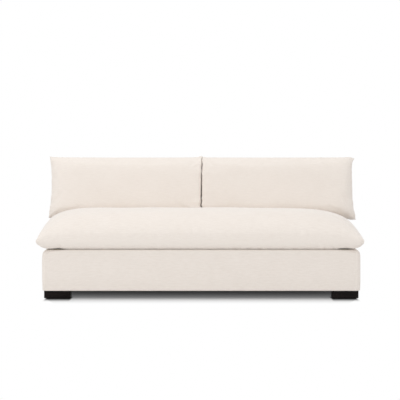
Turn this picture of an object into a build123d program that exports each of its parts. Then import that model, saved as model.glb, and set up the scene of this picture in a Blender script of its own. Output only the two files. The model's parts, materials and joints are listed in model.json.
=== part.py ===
"""Armless two-cushion sofa: hardwood frame, zigzag seat springs, padded base and back, three loose cushions.

Millimetres. X runs along the sofa with left as seen from the front, -Y is the front, +Z is up. The origin lies on
the floor under the middle of the whole sofa, cushions included.
"""

import math
import os

from build123d import *

# ---- driving dimensions: the whole sofa ----------------------------------------------------------------------
BASE_WIDTH = 1916.0
OVERALL_DEPTH = 1040.0
CUSHION_OVERHANG_FRONT = 20.0
BASE_BOTTOM = 48.0
BASE_TOP = 296.0
BACK_TOP = 730.0

FRONT = -OVERALL_DEPTH / 2
REAR = OVERALL_DEPTH / 2
BASE_FRONT = FRONT + CUSHION_OVERHANG_FRONT
HALF_BASE = BASE_WIDTH / 2

# ---- covers and padding --------------------------------------------------------------------------------------
COVER = 3.0
BOTTOM_RETURN = 2.0
RETURN_WIDTH = 48.0
DUST_COVER = 1.0
RAIL_PADDING = 20.0
TOP_EDGE_RADIUS = 36.0
SIDE_EDGE_RADIUS = 30.0
BOTTOM_EDGE_RADIUS = 8.0
DECK_MARGIN = 50.0
DECK_CLOTH = 2.0
DECK_FOAM = 25.0
INSULATOR = 3.0
FIT = 0.3

# ---- wooden frame --------------------------------------------------------------------------------------------
BOARD = 27.0
RAIL_BOTTOM = BASE_BOTTOM + BOTTOM_RETURN
RAIL_TOP = 240.0
RAIL_FRONT = BASE_FRONT + COVER + RAIL_PADDING
RAIL_SIDE = HALF_BASE - COVER - RAIL_PADDING
INNER_SIDE = RAIL_SIDE - BOARD
INNER_FRONT = RAIL_FRONT + BOARD
FRAME_REAR = REAR - COVER - 6.0
UPRIGHT_FOOT_DEPTH = 44.0
INNER_REAR = FRAME_REAR - UPRIGHT_FOOT_DEPTH - BOARD
STRETCHER_X = 300.0
STRETCHER_HEIGHT = 120.0
STRETCHER_SCOOP = 42.0
BLOCK_LEG = 140.0
BLOCK_HEIGHT = 36.0

# ---- back frame ----------------------------------------------------------------------------------------------
UPRIGHT_TOP = 690.0
UPRIGHT_FRONT_LOW = 430.0
UPRIGHT_FRONT_TOP = 458.0
UPRIGHT_X = (-INNER_SIDE + BOARD / 2, -300.0, 300.0, INNER_SIDE - BOARD / 2)
CAP_THICKNESS = 18.0
BACK_RAIL_THICKNESS = 22.0
UPPER_RAIL_HEIGHT = 80.0
TACK_RAIL_LOW = 250.0
TACK_RAIL_HEIGHT = 60.0
STRAP_COUNT = 11
STRAP_WIDTH = 60.0
STRAP_THICKNESS = 2.0
STRAP_PITCH = 160.0
BACK_PADDING = 30.0
BACK_TOP_RADIUS = 24.0
BACK_END_RADIUS = 14.0

# ---- feet ----------------------------------------------------------------------------------------------------
FOOT_WIDTH = 159.0
FOOT_DEPTH = 90.0
FOOT_INSET_SIDE = 11.0
FOOT_INSET_FRONT = 12.0
FOOT_CORNER_RADIUS = 9.0
FOOT_TOP = BASE_BOTTOM - DUST_COVER
GLIDE_RADIUS = 11.0
GLIDE_THICKNESS = 2.0
GLIDE_SIDES = 10
GLIDE_PIN_RADIUS = 1.2
GLIDE_PIN_LENGTH = 12.0
GLIDE_SPREAD = 110.0
FOOT_SCREW_RADIUS = 3.0
FOOT_SCREW_HEAD_RADIUS = 6.0
FOOT_SCREW_HEAD = 4.0
FOOT_SCREW_RECESS = 14.0
FOOT_SCREW_TIP = RAIL_BOTTOM + BLOCK_HEIGHT - 4.0
FOOT_SCREW_FROM_CORNER = (28.0, 92.0)
FOOT_SCREW_BEHIND_RAIL = 16.0
FOOT_SCREW_HEAD_SIDES = 6
BLOCK_SCREW_RADIUS = 2.5
BLOCK_SCREW_HEAD_RADIUS = 4.5
BLOCK_SCREW_HEAD = 3.0
BLOCK_SCREW_FROM_CORNER = 106.0
BLOCK_SCREW_SEAT = 14.0
BLOCK_SCREW_BITE = 20.0
BLOCK_SCREW_HEAD_SIDES = 6
BLOCK_SCREW_SIDES = 4

# ---- zigzag seat springs -------------------------------------------------------------------------------------
SPRING_COUNT = 12
SPRING_WIRE = 2.0
SPRING_WIDTH = 52.0
SPRING_BARS = 21
SPRING_SIDES = 4
SPRING_BEND_STEPS = 3
CLIP_WIDTH = 30.0
CLIP_PLATE = 1.5
CLIP_LENGTH = 16.0
CLIP_PLAY = 0.3
TIE_WIRE = 1.5
TIE_Y = (-150.0, 150.0)

# ---- seat cushion --------------------------------------------------------------------------------------------
SEAT_SEAM_Z = 347.0
SEAT_CROWN_Z = 530.0
SEAT_CROWN_Y = -90.0
SEAT_REAR = 388.0
SEAT_HALF = 988.0
SEAT_END_DRAW = 20.0
SEAT_FRONT_DRAW = 3.0
SEAT_UNDER_ROUND = 70.0
SEAT_CORE = (1640.0, 560.0, 90.0)

# ---- back cushions -------------------------------------------------------------------------------------------
BACK_SEAM_FOOT = (262.0, 446.0)
BACK_LEAN = 11.0
BACK_HEIGHT = 404.0
BACK_OUTER = 1002.0
BACK_PAIR_GAP = 1.0
BACK_OUTER_DRAW = 18.0
BACK_INNER_DRAW = 2.0
BACK_TOP_DRAW = 6.0
BACK_FRONT_BULGE = 112.0
BACK_REAR_BULGE = 112.0
BACK_CORE = (740.0, 250.0, 80.0)

# How a knife-edge cushion fills out from its seam: (sharpness, fullness) of a superellipse
FILL_END = (6.0, 2.2)
FILL_SEAT_FRONT = (2.6, 2.2)
FILL_SEAT_REAR = (2.0, 1.1)
FILL_BACK_FOOT = (2.6, 2.0)
FILL_BACK_TOP = (2.2, 1.7)
CUSHION_LEVELS = 7
CROWN_FLAT = 0.988
END_FACETS = 5
LONG_FACETS = 9


def box(x0, x1, y0, y1, z0, z1):
    """Axis-aligned box between two corners."""
    return Pos((x0 + x1) / 2, (y0 + y1) / 2, (z0 + z1) / 2) * Box(x1 - x0, y1 - y0, z1 - z0)


def faceted_rod(radius, start, end, sides=6):
    """Small fastener's shank or its bore, as a regular prism from start to end."""
    axis = Vector(*end) - Vector(*start)
    section = Plane(origin=start, z_dir=axis) * RegularPolygon(radius, sides)
    return extrude(section, amount=axis.length, dir=axis.normalized())


def side_profile(points, x0, x1):
    """Board cut to a closed outline of (y, z) points and extruded from x0 to x1."""
    outline = Polyline(*[(0, y, z) for y, z in points], close=True)
    return Pos(x0, 0, 0) * extrude(make_face(outline), amount=x1 - x0, dir=(1, 0, 0))


def upright_front(z):
    """Y of the raked front plane of the back frame at height z."""
    share = (z - RAIL_TOP) / (UPRIGHT_TOP - RAIL_TOP)
    return UPRIGHT_FRONT_LOW + share * (UPRIGHT_FRONT_TOP - UPRIGHT_FRONT_LOW)


# ---- feet and what fixes them --------------------------------------------------------------------------------
def foot_corner(side, end):
    """(x, y) of the outer corner of a foot. side is -1 left or 1 right, end is -1 front or 1 rear."""
    y = BASE_FRONT + FOOT_INSET_FRONT if end < 0 else REAR - FOOT_INSET_FRONT
    return side * (HALF_BASE - FOOT_INSET_SIDE), y


def glide_places(side, end):
    x, y = foot_corner(side, end)
    middle = x - side * FOOT_WIDTH / 2
    return [(middle + s * GLIDE_SPREAD / 2, y - end * FOOT_DEPTH / 2) for s in (-1, 1)]


def foot_screw_places(side, end):
    y = INNER_FRONT + FOOT_SCREW_BEHIND_RAIL if end < 0 else INNER_REAR - FOOT_SCREW_BEHIND_RAIL
    return [(side * (INNER_SIDE - reach), y) for reach in FOOT_SCREW_FROM_CORNER]


def foot(side, end):
    """Low hardwood block with rounded upright corners, bored for its two screws and its glide pins."""
    x, y = foot_corner(side, end)
    block = box(
        min(x, x - side * FOOT_WIDTH), max(x, x - side * FOOT_WIDTH),
        min(y, y - end * FOOT_DEPTH), max(y, y - end * FOOT_DEPTH),
        GLIDE_THICKNESS, FOOT_TOP,
    )
    block = fillet(block.edges().filter_by(Axis.Z), FOOT_CORNER_RADIUS)
    for px, py in glide_places(side, end):
        block -= faceted_rod(
            GLIDE_PIN_RADIUS, (px, py, GLIDE_THICKNESS), (px, py, GLIDE_THICKNESS + GLIDE_PIN_LENGTH), 4
        )
    for px, py in foot_screw_places(side, end):
        block -= faceted_rod(FOOT_SCREW_RADIUS, (px, py, 0), (px, py, FOOT_TOP))
        block -= faceted_rod(
            FOOT_SCREW_HEAD_RADIUS + 1, (px, py, 0), (px, py, FOOT_SCREW_RECESS + FOOT_SCREW_HEAD),
            FOOT_SCREW_HEAD_SIDES,
        )
    return block


def foot_glides():
    """Nail-on plastic glides, two under each foot."""
    glides = []
    for side in (-1, 1):
        for end in (-1, 1):
            for x, y in glide_places(side, end):
                disc = faceted_rod(GLIDE_RADIUS, (x, y, 0), (x, y, GLIDE_THICKNESS), GLIDE_SIDES)
                pin_top = (x, y, GLIDE_THICKNESS + GLIDE_PIN_LENGTH)
                glides.append(disc + faceted_rod(GLIDE_PIN_RADIUS, (x, y, GLIDE_THICKNESS), pin_top, 4))
    return glides


def foot_screws():
    """Hex-head wood screws, up through each foot into its corner block."""
    screws = []
    for side in (-1, 1):
        for end in (-1, 1):
            for x, y in foot_screw_places(side, end):
                seat = (x, y, FOOT_SCREW_RECESS + FOOT_SCREW_HEAD)
                head = faceted_rod(FOOT_SCREW_HEAD_RADIUS, (x, y, FOOT_SCREW_RECESS), seat, FOOT_SCREW_HEAD_SIDES)
                screws.append(head + faceted_rod(FOOT_SCREW_RADIUS, seat, (x, y, FOOT_SCREW_TIP)))
    return screws


def foot_screw_holes(radius, z0, z1):
    """The bores that the foot screws need in what lies above the feet."""
    places = [p for side in (-1, 1) for end in (-1, 1) for p in foot_screw_places(side, end)]
    return [faceted_rod(radius, (x, y, z0), (x, y, z1)) for x, y in places]


# ---- base frame ----------------------------------------------------------------------------------------------
def block_screw_lines(side, end):
    """(seat of the head, direction) of the two screws of a corner block: into the long rail, into the side rail."""
    y, z = (INNER_FRONT if end < 0 else INNER_REAR), RAIL_BOTTOM + BLOCK_HEIGHT / 2
    into_long = Vector(side * (INNER_SIDE - BLOCK_SCREW_FROM_CORNER), y - end * BLOCK_SCREW_SEAT, z)
    into_side = Vector(side * (INNER_SIDE - BLOCK_SCREW_SEAT), y - end * BLOCK_SCREW_FROM_CORNER, z)
    return [(into_long, Vector(0, end, 0)), (into_side, Vector(side, 0, 0))]


def block_screw_shank(seat, way):
    return faceted_rod(BLOCK_SCREW_RADIUS, seat, seat + way * (BLOCK_SCREW_SEAT + BLOCK_SCREW_BITE), BLOCK_SCREW_SIDES)


def block_screws():
    """Wood screws that hold the glued corner blocks to the rails, two in each, their heads sunk in pockets."""
    screws = []
    for side in (-1, 1):
        for end in (-1, 1):
            for seat, way in block_screw_lines(side, end):
                head = faceted_rod(
                    BLOCK_SCREW_HEAD_RADIUS, seat - way * BLOCK_SCREW_HEAD, seat, BLOCK_SCREW_HEAD_SIDES
                )
                screws.append(head + block_screw_shank(seat, way))
    return screws


def front_rail():
    rail = box(-RAIL_SIDE, RAIL_SIDE, RAIL_FRONT, INNER_FRONT, RAIL_BOTTOM, RAIL_TOP)
    for side in (-1, 1):
        rail -= block_screw_shank(*block_screw_lines(side, -1)[0])
    return rail


def rear_rail():
    rail = box(-INNER_SIDE, INNER_SIDE, INNER_REAR, INNER_REAR + BOARD, RAIL_BOTTOM, RAIL_TOP)
    for side in (-1, 1):
        rail -= block_screw_shank(*block_screw_lines(side, 1)[0])
    return rail


def side_rail(side):
    x0, x1 = sorted((side * INNER_SIDE, side * RAIL_SIDE))
    rail = box(x0, x1, INNER_FRONT, FRAME_REAR, RAIL_BOTTOM, RAIL_TOP)
    for end in (-1, 1):
        rail -= block_screw_shank(*block_screw_lines(side, end)[1])
    return rail


def stretcher(x):
    """Front-to-back member, its top scooped so that a loaded spring deck clears it."""
    top = RAIL_BOTTOM + STRETCHER_HEIGHT
    shoulder = 90.0
    a, b = INNER_FRONT, INNER_REAR
    outline = Polyline(
        (0, a + shoulder, top), (0, a, top), (0, a, RAIL_BOTTOM), (0, b, RAIL_BOTTOM), (0, b, top), (0, b - shoulder, top)
    )
    scoop = ThreePointArc((0, b - shoulder, top), (0, (a + b) / 2, top - STRETCHER_SCOOP), (0, a + shoulder, top))
    board = extrude(make_face(outline + scoop), amount=BOARD, dir=(1, 0, 0))
    return Pos(x - BOARD / 2, 0, 0) * board


def corner_block(side, end):
    """Triangular glued block in a corner of the base; the foot screws into it."""
    y = INNER_FRONT if end < 0 else INNER_REAR
    outline = Polyline(
        (side * INNER_SIDE, y), (side * (INNER_SIDE - BLOCK_LEG), y), (side * INNER_SIDE, y - end * BLOCK_LEG), close=True
    )
    block = Pos(0, 0, RAIL_BOTTOM) * extrude(make_face(outline), amount=BLOCK_HEIGHT, dir=(0, 0, 1))
    for x, py in foot_screw_places(side, end):
        block -= faceted_rod(FOOT_SCREW_RADIUS, (x, py, RAIL_BOTTOM), (x, py, FOOT_SCREW_TIP))
    for seat, way in block_screw_lines(side, end):
        block -= block_screw_shank(seat, way)
        block -= faceted_rod(BLOCK_SCREW_HEAD_RADIUS + 1, seat - way * BLOCK_LEG, seat, BLOCK_SCREW_HEAD_SIDES)
    return block


# ---- back frame ----------------------------------------------------------------------------------------------
def back_upright(x):
    """Sawn upright: its foot stands behind the rear rail, its shoulder sits on it, its front face is raked."""
    outline = [
        (FRAME_REAR, RAIL_BOTTOM), (FRAME_REAR, UPRIGHT_TOP), (UPRIGHT_FRONT_TOP, UPRIGHT_TOP),
        (UPRIGHT_FRONT_LOW, RAIL_TOP), (INNER_REAR + BOARD, RAIL_TOP), (INNER_REAR + BOARD, RAIL_BOTTOM),
    ]
    board = side_profile(outline, x - BOARD / 2, x + BOARD / 2)
    return board - back_tack_rail() - back_upper_rail()


def raked_rail(z0, z1):
    """Rail let into the front of the uprights, flush with their raked face."""
    outline = [
        (upright_front(z0), z0), (upright_front(z0) + BACK_RAIL_THICKNESS, z0),
        (upright_front(z1) + BACK_RAIL_THICKNESS, z1), (upright_front(z1), z1),
    ]
    return side_profile(outline, -INNER_SIDE, INNER_SIDE)


def back_tack_rail():
    return raked_rail(TACK_RAIL_LOW, TACK_RAIL_LOW + TACK_RAIL_HEIGHT)


def back_upper_rail():
    return raked_rail(UPRIGHT_TOP - UPPER_RAIL_HEIGHT, UPRIGHT_TOP)


def back_top_cap():
    return box(-INNER_SIDE, INNER_SIDE, UPRIGHT_FRONT_TOP, FRAME_REAR, UPRIGHT_TOP, UPRIGHT_TOP + CAP_THICKNESS)


def back_webbing():
    """Elastic straps stretched from the tack rail to the upper rail, on the raked face."""
    z0, z1 = TACK_RAIL_LOW + 10.0, UPRIGHT_TOP - 10.0
    outline = [
        (upright_front(z0), z0), (upright_front(z0) - STRAP_THICKNESS, z0),
        (upright_front(z1) - STRAP_THICKNESS, z1), (upright_front(z1), z1),
    ]
    straps = []
    for i in range(STRAP_COUNT):
        x = (i - (STRAP_COUNT - 1) / 2) * STRAP_PITCH
        straps.append(side_profile(outline, x - STRAP_WIDTH / 2, x + STRAP_WIDTH / 2))
    return straps


# ---- seat springs --------------------------------------------------------------------------------------------
SPRING_FRONT = RAIL_FRONT + BOARD / 2
SPRING_REAR = INNER_REAR + BOARD / 2
SPRING_SEAT_Z = RAIL_TOP + CLIP_PLATE + SPRING_WIRE + CLIP_PLAY
SPRING_X = [(i - (SPRING_COUNT - 1) / 2) * 2 * INNER_SIDE / (SPRING_COUNT + 0.4) for i in range(SPRING_COUNT)]


SPRING_RISE = BASE_TOP - DECK_CLOTH - DECK_FOAM - INSULATOR - SPRING_WIRE - SPRING_SEAT_Z


def spring_height(y):
    """Height of the sprung wire's middle at y: an arch between its two clips."""
    middle, half = (SPRING_FRONT + SPRING_REAR) / 2, (SPRING_REAR - SPRING_FRONT) / 2
    return SPRING_SEAT_Z + SPRING_RISE * (1 - ((y - middle) / half) ** 2)


def zigzag_path():
    """Corner points of the zigzag wire about x = 0: straight cross bars joined by half-round bends."""
    pitch = (SPRING_REAR - SPRING_FRONT) / (SPRING_BARS - 1)
    bend = pitch / 2
    reach = SPRING_WIDTH / 2 - bend
    points = [Vector(-CLIP_WIDTH / 2 - 4, SPRING_FRONT, SPRING_SEAT_Z)]
    for bar in range(SPRING_BARS - 1):
        y, side = SPRING_FRONT + bar * pitch, 1 if bar % 2 == 0 else -1
        for step in range(SPRING_BEND_STEPS + 1):
            angle = math.pi * step / SPRING_BEND_STEPS
            py = y + bend - bend * math.cos(angle)
            points.append(Vector(side * (reach + bend * math.sin(angle)), py, spring_height(py)))
    last = 1 if SPRING_BARS % 2 else -1
    points.append(Vector(last * (CLIP_WIDTH / 2 + 4), SPRING_REAR, SPRING_SEAT_Z))
    return points


def faceted_wire(points, radius, sides):
    """Solid wire of a regular polygon section along straight runs, mitred where two runs meet."""
    runs = [(b - a).normalized() for a, b in zip(points, points[1:])]
    across = runs[0].cross(Vector(0, 0, 1)).normalized()
    up = across.cross(runs[0])
    ring = [
        points[0] + across * (radius * math.cos(2 * math.pi * k / sides)) + up * (radius * math.sin(2 * math.pi * k / sides))
        for k in range(sides)
    ]
    rings = [ring]
    for i, run in enumerate(runs):
        normal = run if i == len(runs) - 1 else (run + runs[i + 1]).normalized()
        end = points[i + 1]
        ring = [p + run * ((end - p).dot(normal) / run.dot(normal)) for p in ring]
        rings.append(ring)
    faces = [Face(Wire.make_polygon(rings[0])), Face(Wire.make_polygon(rings[-1]))]
    for low, high in zip(rings, rings[1:]):
        for k in range(sides):
            j = (k + 1) % sides
            faces.append(Face(Wire.make_polygon([low[k], low[j], high[j], high[k]])))
    return Solid(Shell(faces))


def spring_clips():
    """Folded steel clips that hold the end bars of the springs on the front and rear rails."""
    clips = []
    wire_top = SPRING_SEAT_Z + SPRING_WIRE + 2 * CLIP_PLAY
    for y, back in ((SPRING_FRONT, -1), (SPRING_REAR, 1)):
        wall = y + back * (SPRING_WIRE + CLIP_PLAY)
        inner = y - back * (CLIP_LENGTH - SPRING_WIRE)
        outline = [
            (wall + back * CLIP_PLATE, RAIL_TOP), (inner, RAIL_TOP), (inner, RAIL_TOP + CLIP_PLATE),
            (wall, RAIL_TOP + CLIP_PLATE), (wall, wire_top), (y - back * 4, wire_top),
            (y - back * 4, wire_top + CLIP_PLATE), (wall + back * CLIP_PLATE, wire_top + CLIP_PLATE),
        ]
        clips += [side_profile(outline, x - CLIP_WIDTH / 2, x + CLIP_WIDTH / 2) for x in SPRING_X]
    return clips


def tie_wires():
    """Straight wires under the springs that tie them to each other and to the side rails."""
    wires = []
    for y in TIE_Y:
        z = spring_height(y) - SPRING_WIRE - TIE_WIRE - 0.2
        wires.append(faceted_rod(TIE_WIRE, (-INNER_SIDE, y, z), (INNER_SIDE, y, z)))
    return wires


# ---- deck and base upholstery --------------------------------------------------------------------------------
DECK_SIDE = HALF_BASE - DECK_MARGIN
DECK_FRONT = BASE_FRONT + DECK_MARGIN
DECK_REAR = upright_front(BASE_TOP) - STRAP_THICKNESS - BACK_PADDING - COVER


def deck_layer(z0, z1, inset=0.0):
    return box(-DECK_SIDE + inset, DECK_SIDE - inset, DECK_FRONT + inset, DECK_REAR - inset, z0, z1)


def base_block(inset, bottom):
    """Rounded block of the upholstered base, shrunk by inset on its front, sides and top."""
    block = box(-HALF_BASE + inset, HALF_BASE - inset, BASE_FRONT + inset, REAR - COVER, bottom, BASE_TOP - inset)
    corners = block.edges().filter_by(Axis.Z).group_by(Axis.Y)[0]
    block = fillet(corners, SIDE_EDGE_RADIUS - inset)
    for face, radius in ((-1, TOP_EDGE_RADIUS - inset), (0, BOTTOM_EDGE_RADIUS - inset)):
        level = block.faces().sort_by(Axis.Z)[face]
        block = fillet([e for e in level.edges() if e.center().Y < REAR - COVER - 1.0], radius)
    return block


def base_cover():
    """Sewn fabric sleeve round the front and sides: turned under the rails, open over the deck and at the rear."""
    cover = base_block(0.0, BASE_BOTTOM) - base_block(COVER, RAIL_BOTTOM)
    cover -= box(-HALF_BASE + RETURN_WIDTH, HALF_BASE - RETURN_WIDTH, BASE_FRONT + RETURN_WIDTH, REAR, 0, RAIL_BOTTOM)
    cover -= box(-DECK_SIDE, DECK_SIDE, DECK_FRONT, REAR, RAIL_TOP, BASE_TOP)
    cover -= box(-HALF_BASE, HALF_BASE, DECK_REAR, REAR, BASE_TOP - COVER, BASE_TOP)
    for hole in foot_screw_holes(FOOT_SCREW_RADIUS + 1, 0, RAIL_BOTTOM):
        cover -= hole
    return cover


def edge_foam(part):
    """Foam on one rail and over its top edge: part is "front", -1 for left or 1 for right."""
    body = base_block(COVER, RAIL_BOTTOM)
    body -= box(-RAIL_SIDE, RAIL_SIDE, RAIL_FRONT, REAR, 0, RAIL_TOP)
    body -= box(-DECK_SIDE, DECK_SIDE, DECK_FRONT, REAR, RAIL_TOP, BASE_TOP)
    body -= box(-HALF_BASE, HALF_BASE, DECK_REAR, REAR, RAIL_TOP, BASE_TOP)
    body -= box(-INNER_SIDE, INNER_SIDE, SPRING_FRONT - 6, DECK_FRONT, RAIL_TOP, RAIL_TOP + 14)
    if part == "front":
        return body & box(-HALF_BASE, HALF_BASE, BASE_FRONT, DECK_FRONT, 0, BASE_TOP)
    x0, x1 = sorted((part * DECK_SIDE, part * HALF_BASE))
    return body & box(x0, x1, DECK_FRONT, REAR, 0, BASE_TOP)


def dust_cover():
    """Thin black cloth stapled under the frame."""
    margin = 14.0
    sheet = box(
        -HALF_BASE + margin, HALF_BASE - margin, BASE_FRONT + margin, REAR - margin, FOOT_TOP, BASE_BOTTOM
    )
    for hole in foot_screw_holes(FOOT_SCREW_RADIUS + 1, 0, RAIL_BOTTOM):
        sheet -= hole
    return sheet


# ---- back upholstery -----------------------------------------------------------------------------------------
def back_block(inset):
    """Padded back above the deck: raked front, rounded top, shrunk by inset on front, top and ends."""
    lean = (UPRIGHT_FRONT_TOP - UPRIGHT_FRONT_LOW) / (UPRIGHT_TOP - RAIL_TOP)
    face = STRAP_THICKNESS + BACK_PADDING + COVER - inset
    top = BACK_TOP - inset
    outline = [
        (upright_front(BASE_TOP) - face, BASE_TOP), (REAR - COVER, BASE_TOP), (REAR - COVER, top),
        (upright_front(BASE_TOP) - face + lean * (top - BASE_TOP), top),
    ]
    block = side_profile(outline, -HALF_BASE + inset, HALF_BASE - inset)
    front_top = block.edges().filter_by(Axis.X).sort_by(Axis.Y)[0:2].sort_by(Axis.Z)[-1]
    block = fillet(front_top, BACK_TOP_RADIUS - inset)
    ends = [
        e for e in block.edges()
        if abs(abs(e.center().X) - (HALF_BASE - inset)) < 0.01
        and e.center().Y < REAR - COVER - 1.0
        and e.center().Z > BASE_TOP + 1.0
    ]
    return fillet(ends, BACK_END_RADIUS - inset)


def inside_back_cover():
    """Fabric over the front, top and ends of the back, open behind and below."""
    return back_block(0.0) - back_block(COVER)


def inside_back_foam():
    """Foam between the back frame and its cover."""
    body = back_block(COVER)
    frame = [
        (upright_front(BASE_TOP) - STRAP_THICKNESS, BASE_TOP), (REAR, BASE_TOP), (REAR, UPRIGHT_TOP + CAP_THICKNESS),
        (upright_front(UPRIGHT_TOP) - STRAP_THICKNESS, UPRIGHT_TOP + CAP_THICKNESS),
        (upright_front(UPRIGHT_TOP) - STRAP_THICKNESS, UPRIGHT_TOP),
    ]
    return body - side_profile(frame, -INNER_SIDE, INNER_SIDE)


def outside_back_cover():
    """Flat fabric panel closing the rear from the rails to the top."""
    panel = box(-HALF_BASE, HALF_BASE, REAR - COVER, REAR, BASE_BOTTOM, BACK_TOP)
    rim = panel.faces().sort_by(Axis.Y)[-1].edges()
    return fillet(rim, COVER - 0.5)


# ---- cushions ------------------------------------------------------------------------------------------------
def fill_inset(height, reach, fill):
    """Distance in from a seam at which a cushion has risen to a share of its crown, which is reach away."""
    sharpness, fullness = fill
    return reach * (1 - (1 - height ** fullness) ** (1 / sharpness))


def contour(plane, seam, crown, draws, fills, height):
    """Points round a cushion's outline at a share of its crown's height, along four arcs.

    seam and the arcs' ends run (low x, high x, low y, high y); draws says how far the middle of each seam is drawn in.
    Corners fill out later than the middles of the sides, so low outlines are hollow-sided and high ones full.
    """
    corner, middle = [], []
    for k, (edge, draw, fill) in enumerate(zip(seam, draws, fills)):
        inward = 1 if k % 2 == 0 else -1
        reach = abs(crown[k // 2] - edge)
        corner.append(edge + inward * fill_inset(math.sqrt(height), reach, fill))
        middle.append(edge + inward * (draw + fill_inset(height, reach - draw, fill)))
    x0, x1, y0, y1 = corner
    xm, ym = (x0 + x1) / 2, (y0 + y1) / 2
    sides = (
        (ThreePointArc((x0, y0), (xm, middle[2]), (x1, y0)), LONG_FACETS),
        (ThreePointArc((x1, y0), (middle[1], ym), (x1, y1)), END_FACETS),
        (ThreePointArc((x1, y1), (xm, middle[3]), (x0, y1)), LONG_FACETS),
        (ThreePointArc((x0, y1), (middle[0], ym), (x0, y0)), END_FACETS),
    )
    return [plane.from_local_coords(arc.position_at(i / facets)) for arc, facets in sides for i in range(facets)]


def skin(rings):
    """Solid stretched over rings of points: flat triangles between neighbouring rings, a flat face at each end."""
    faces = [Face(Wire.make_polygon(rings[0])), Face(Wire.make_polygon(rings[-1]))]
    for low, high in zip(rings, rings[1:]):
        for k in range(len(low)):
            j = (k + 1) % len(low)
            faces.append(Face(Wire.make_polygon([low[k], low[j], high[j]])))
            faces.append(Face(Wire.make_polygon([low[k], high[j], high[k]])))
    return Solid(Shell(faces))


def crown_levels():
    """Shares of the crown's height at which a cushion's outline is drawn, closer together toward the crown."""
    return [math.sin(math.pi / 2 * k / CUSHION_LEVELS) for k in range(1, CUSHION_LEVELS)] + [CROWN_FLAT]


def seat_cushion():
    """Long bench cushion stretched over its level outlines: flat underneath, knife-edged all round, crowned above."""
    seam = (-SEAT_HALF, SEAT_HALF, FRONT, SEAT_REAR)
    crown = (0.0, SEAT_CROWN_Y)
    draws = (SEAT_END_DRAW, SEAT_END_DRAW, SEAT_FRONT_DRAW, SEAT_FRONT_DRAW)
    fills = (FILL_END, FILL_END, FILL_SEAT_FRONT, FILL_SEAT_REAR)
    outlines = []
    drop = SEAT_SEAM_Z - BASE_TOP - FIT
    for share in (1.0, 0.866, 0.5):
        under = SEAT_UNDER_ROUND * (1 - math.sqrt(1 - share ** 2))
        shrunk = (seam[0] + 1.6 * under, seam[1] - 1.6 * under, seam[2] + under, seam[3] - under)
        level = Plane(origin=(0, 0, SEAT_SEAM_Z - drop * share))
        outlines.append(contour(level, shrunk, crown, draws, fills, 0.0))
    for height in [0.0] + crown_levels():
        level = Plane(origin=(0, 0, SEAT_SEAM_Z + height * (SEAT_CROWN_Z - SEAT_SEAM_Z)))
        outlines.append(contour(level, seam, crown, draws, fills, height))
    return skin(outlines)


def seat_core():
    """Foam slab inside the seat cushion."""
    length, depth, height = SEAT_CORE
    z = BASE_TOP + 34.0
    return box(-length / 2, length / 2, SEAT_CROWN_Y - depth / 2, SEAT_CROWN_Y + depth / 2, z, z + height)


def back_plane():
    """Plane of the back cushions' seams: x along the sofa, y up their lean, z toward the front."""
    lean = math.radians(BACK_LEAN)
    toward_front = Vector(0, -math.cos(lean), math.sin(lean))
    return Plane(origin=(0, *BACK_SEAM_FOOT), x_dir=(1, 0, 0), z_dir=toward_front)


def back_cushion(side):
    """Back cushion stretched over outlines parallel to its seam, from its rear crown to its front crown."""
    inner, outer = side * BACK_PAIR_GAP / 2, side * BACK_OUTER
    seam = (min(inner, outer), max(inner, outer), 0.0, BACK_HEIGHT)
    crown = ((inner + outer) / 2, BACK_HEIGHT / 2)
    ends = (BACK_OUTER_DRAW, BACK_INNER_DRAW) if side < 0 else (BACK_INNER_DRAW, BACK_OUTER_DRAW)
    draws = ends + (2.0, BACK_TOP_DRAW)
    fills = (FILL_END, FILL_END, FILL_BACK_FOOT, FILL_BACK_TOP)
    levels = [(-BACK_REAR_BULGE * h, h) for h in reversed(crown_levels())]
    levels += [(0.0, 0.0)] + [(BACK_FRONT_BULGE * h, h) for h in crown_levels()]
    return skin([contour(back_plane().offset(away), seam, crown, draws, fills, h) for away, h in levels])


def back_core(side):
    """Foam slab inside a back cushion."""
    length, height, thickness = BACK_CORE
    middle = side * (BACK_OUTER + BACK_PAIR_GAP / 2) / 2
    return back_plane() * Pos(middle, BACK_HEIGHT / 2, 0) * Box(length, height, thickness)


def write(name, solids):
    """Exports one node: a single solid or a list of separate ones."""
    shape = Compound(children=list(solids)) if isinstance(solids, (list, tuple)) else solids
    export_step(shape, f"parts/{name}.step")


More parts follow.
